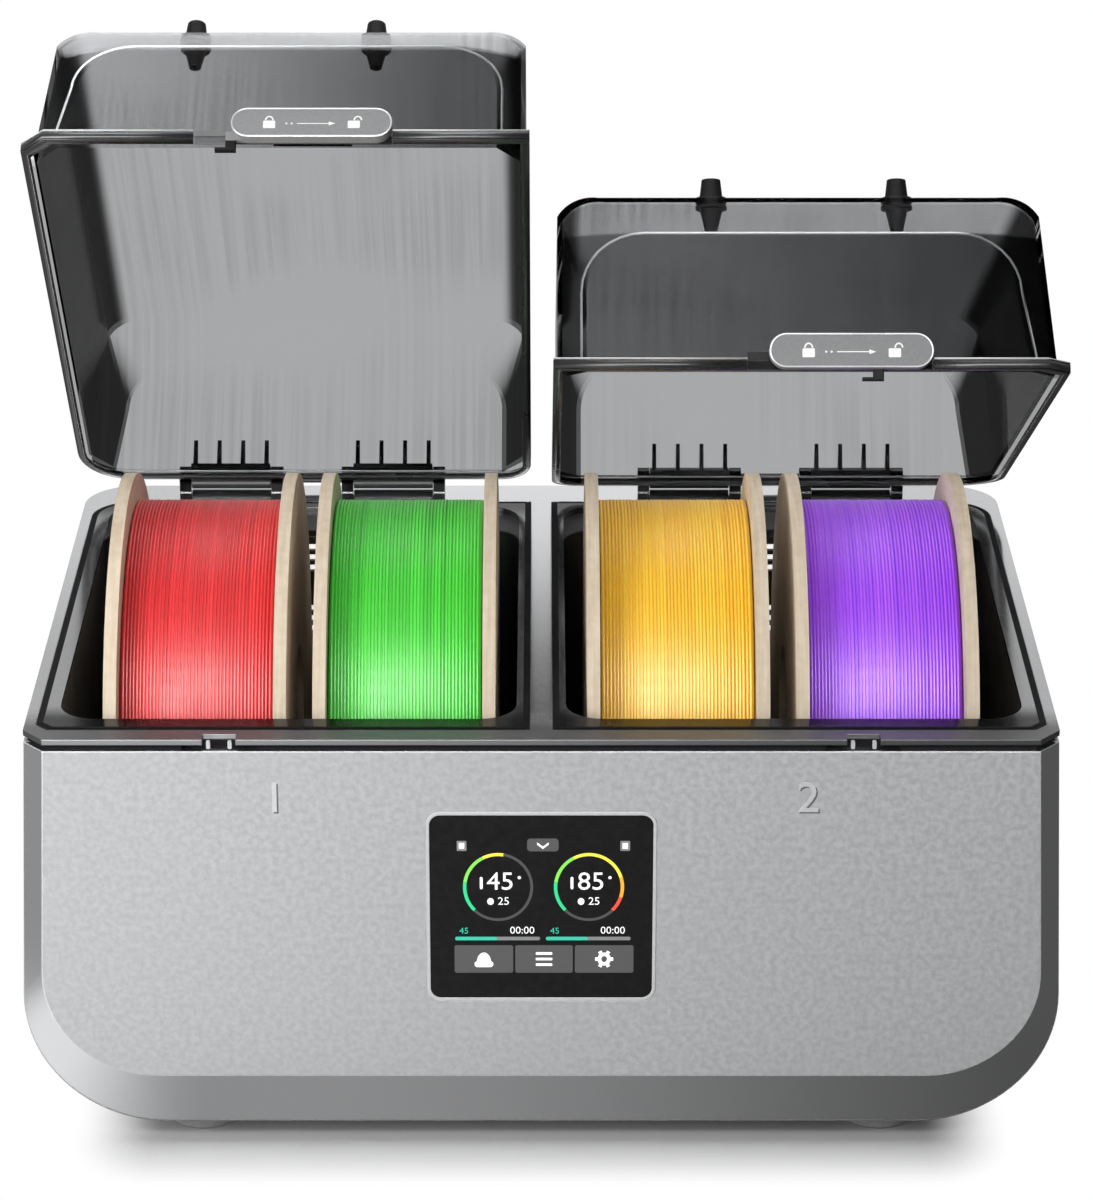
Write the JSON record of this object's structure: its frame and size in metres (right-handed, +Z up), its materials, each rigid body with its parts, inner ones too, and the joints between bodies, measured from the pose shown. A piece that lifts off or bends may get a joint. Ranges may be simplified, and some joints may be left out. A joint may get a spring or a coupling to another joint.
{
  "type": "filament dryer box",
  "caption": "Wide filament dryer box with side-by-side heated chambers, smoke-clear hinged lids with sliding latches, spools on rollers and a front touch screen.",
  "frame": {"origin": "on the floor under the middle of the overall box, lids open as they stand", "axes": "+X to the right across the front, +Y from the front face to the back, +Z up"},
  "size_m": [0.4016, 0.3051, 0.4084],
  "materials": {
    "housing_grey": "fine texture",
    "panel_silver": "fine silver grain",
    "frame_light": "satin",
    "seal_rubber": "matt",
    "foot_rubber": "matt",
    "steel": "plain",
    "bezel_grey": "satin",
    "screen_black": "gloss",
    "display_grey": "plain",
    "board_green": "plain",
    "black_plastic": "satin",
    "supply_metal": "plain",
    "desiccant_white": "plain",
    "liner_black": "satin",
    "heater_aluminium": "plain",
    "lid_smoke": "clear, smoke tint",
    "latch_grey": "satin",
    "outlet_rubber": "matt",
    "card": "raw card",
    "filament_red": "gloss",
    "filament_green": "gloss",
    "filament_orange": "gloss",
    "filament_purple": "gloss",
    "roller_grey": "satin"
  },
  "bodies": {
    "base": {"base_shell": "housing_grey", "front_panel": "panel_silver", "top_frame": "frame_light", "housing_gasket": "seal_rubber", "feet": "foot_rubber", "bottom_cover": "housing_grey", "cover_screws": "steel", "screen_frame": "bezel_grey", "screen_glass": "screen_black", "display_module": "display_grey", "control_board": "board_green", "power_inlet": "black_plastic", "switch_case": "black_plastic", "power_supply": "supply_metal", "lid_seals": "seal_rubber", "desiccant_packs": "desiccant_white", "humidity_sensors": "board_green", "hinge_pins": "steel", "chamber_liner_left": "liner_black", "desiccant_cover_left": "liner_black", "heater_left": "heater_aluminium", "fan_housing_left": "black_plastic", "roller_cradle_left": "liner_black", "chamber_liner_right": "liner_black", "desiccant_cover_right": "liner_black", "heater_right": "heater_aluminium", "fan_housing_right": "black_plastic", "roller_cradle_right": "liner_black"},
    "lid_left": {"lid_shell_left": "lid_smoke", "outlet_fittings_left": "outlet_rubber", "hinge_leaves_left": "black_plastic"},
    "latch_left": {"latch_slider_left": "latch_grey"},
    "fan_left": {"fan_rotor_left": "black_plastic"},
    "lid_right": {"lid_shell_right": "lid_smoke", "outlet_fittings_right": "outlet_rubber", "hinge_leaves_right": "black_plastic"},
    "latch_right": {"latch_slider_right": "latch_grey"},
    "fan_right": {"fan_rotor_right": "black_plastic"},
    "rocker": {"switch_rocker": "black_plastic"},
    "spool_1": {"spool_1": "card", "filament_core_1": "filament_red", "filament_turns_1": "filament_red"},
    "roller_1_front": {"roller_1_front": "roller_grey"},
    "roller_1_back": {"roller_1_back": "roller_grey"},
    "spool_2": {"spool_2": "card", "filament_core_2": "filament_green", "filament_turns_2": "filament_green"},
    "roller_2_front": {"roller_2_front": "roller_grey"},
    "roller_2_back": {"roller_2_back": "roller_grey"},
    "spool_3": {"spool_3": "card", "filament_core_3": "filament_orange", "filament_turns_3": "filament_orange"},
    "roller_3_front": {"roller_3_front": "roller_grey"},
    "roller_3_back": {"roller_3_back": "roller_grey"},
    "spool_4": {"spool_4": "card", "filament_core_4": "filament_purple", "filament_turns_4": "filament_purple"},
    "roller_4_front": {"roller_4_front": "roller_grey"},
    "roller_4_back": {"roller_4_back": "roller_grey"}
  },
  "joints": [
    {"name": "lid_left_hinge", "type": "hinge", "parent": "base", "child": "lid_left", "pos_m": [-0.00003, 0.11367, 0.183], "axis": [-1, 0, 0], "range_deg": [-50.45, 49.55]},
    {"name": "latch_left_slide", "type": "slide", "parent": "lid_left", "child": "latch_left", "axis": [1, 0, 0], "range_m": [-0.008, 0]},
    {"name": "fan_left_spin", "type": "hinge", "parent": "base", "child": "fan_left", "pos_m": [-0.09673, 0.09217, 0.08], "axis": [0, 1, 0], "continuous": true},
    {"name": "lid_right_hinge", "type": "hinge", "parent": "base", "child": "lid_right", "pos_m": [-0.00003, 0.11367, 0.183], "axis": [-1, 0, 0], "range_deg": [-30.4, 69.6]},
    {"name": "latch_right_slide", "type": "slide", "parent": "lid_right", "child": "latch_right", "axis": [1, 0, 0], "range_m": [-0.008, 0]},
    {"name": "fan_right_spin", "type": "hinge", "parent": "base", "child": "fan_right", "pos_m": [0.09667, 0.09217, 0.08], "axis": [0, 1, 0], "continuous": true},
    {"name": "power_switch_rock", "type": "hinge", "parent": "base", "child": "rocker", "pos_m": [0.09597, 0.11767, 0.046], "axis": [1, 0, 0], "range_deg": [-16, 0]},
    {"name": "spool_1_spin", "type": "hinge", "parent": "base", "child": "spool_1", "pos_m": [-0.13273, -0.03483, 0.1375], "axis": [1, 0, 0], "continuous": true},
    {"name": "roller_1_front_spin", "type": "hinge", "parent": "base", "child": "roller_1_front", "pos_m": [-0.13273, -0.09273, 0.04835], "axis": [1, 0, 0], "continuous": true},
    {"name": "roller_1_back_spin", "type": "hinge", "parent": "base", "child": "roller_1_back", "pos_m": [-0.13273, 0.02306, 0.04835], "axis": [1, 0, 0], "continuous": true},
    {"name": "spool_2_spin", "type": "hinge", "parent": "base", "child": "spool_2", "pos_m": [-0.05263, -0.03483, 0.1375], "axis": [1, 0, 0], "continuous": true},
    {"name": "roller_2_front_spin", "type": "hinge", "parent": "base", "child": "roller_2_front", "pos_m": [-0.05263, -0.09273, 0.04835], "axis": [1, 0, 0], "continuous": true},
    {"name": "roller_2_back_spin", "type": "hinge", "parent": "base", "child": "roller_2_back", "pos_m": [-0.05263, 0.02306, 0.04835], "axis": [1, 0, 0], "continuous": true},
    {"name": "spool_3_spin", "type": "hinge", "parent": "base", "child": "spool_3", "pos_m": [0.05257, -0.03483, 0.1375], "axis": [1, 0, 0], "continuous": true},
    {"name": "roller_3_front_spin", "type": "hinge", "parent": "base", "child": "roller_3_front", "pos_m": [0.05257, -0.09273, 0.04835], "axis": [1, 0, 0], "continuous": true},
    {"name": "roller_3_back_spin", "type": "hinge", "parent": "base", "child": "roller_3_back", "pos_m": [0.05257, 0.02306, 0.04835], "axis": [1, 0, 0], "continuous": true},
    {"name": "spool_4_spin", "type": "hinge", "parent": "base", "child": "spool_4", "pos_m": [0.13267, -0.03483, 0.1375], "axis": [1, 0, 0], "continuous": true},
    {"name": "roller_4_front_spin", "type": "hinge", "parent": "base", "child": "roller_4_front", "pos_m": [0.13267, -0.09273, 0.04835], "axis": [1, 0, 0], "continuous": true},
    {"name": "roller_4_back_spin", "type": "hinge", "parent": "base", "child": "roller_4_back", "pos_m": [0.13267, 0.02306, 0.04835], "axis": [1, 0, 0], "continuous": true}
  ],
  "couplings": [
    {"joint": "roller_1_front_spin", "follows": "spool_1_spin", "ratio": -10.778},
    {"joint": "roller_1_back_spin", "follows": "spool_1_spin", "ratio": -10.778},
    {"joint": "roller_2_front_spin", "follows": "spool_2_spin", "ratio": -10.778},
    {"joint": "roller_2_back_spin", "follows": "spool_2_spin", "ratio": -10.778},
    {"joint": "roller_3_front_spin", "follows": "spool_3_spin", "ratio": -10.778},
    {"joint": "roller_3_back_spin", "follows": "spool_3_spin", "ratio": -10.778},
    {"joint": "roller_4_front_spin", "follows": "spool_4_spin", "ratio": -10.778},
    {"joint": "roller_4_back_spin", "follows": "spool_4_spin", "ratio": -10.778}
  ]
}
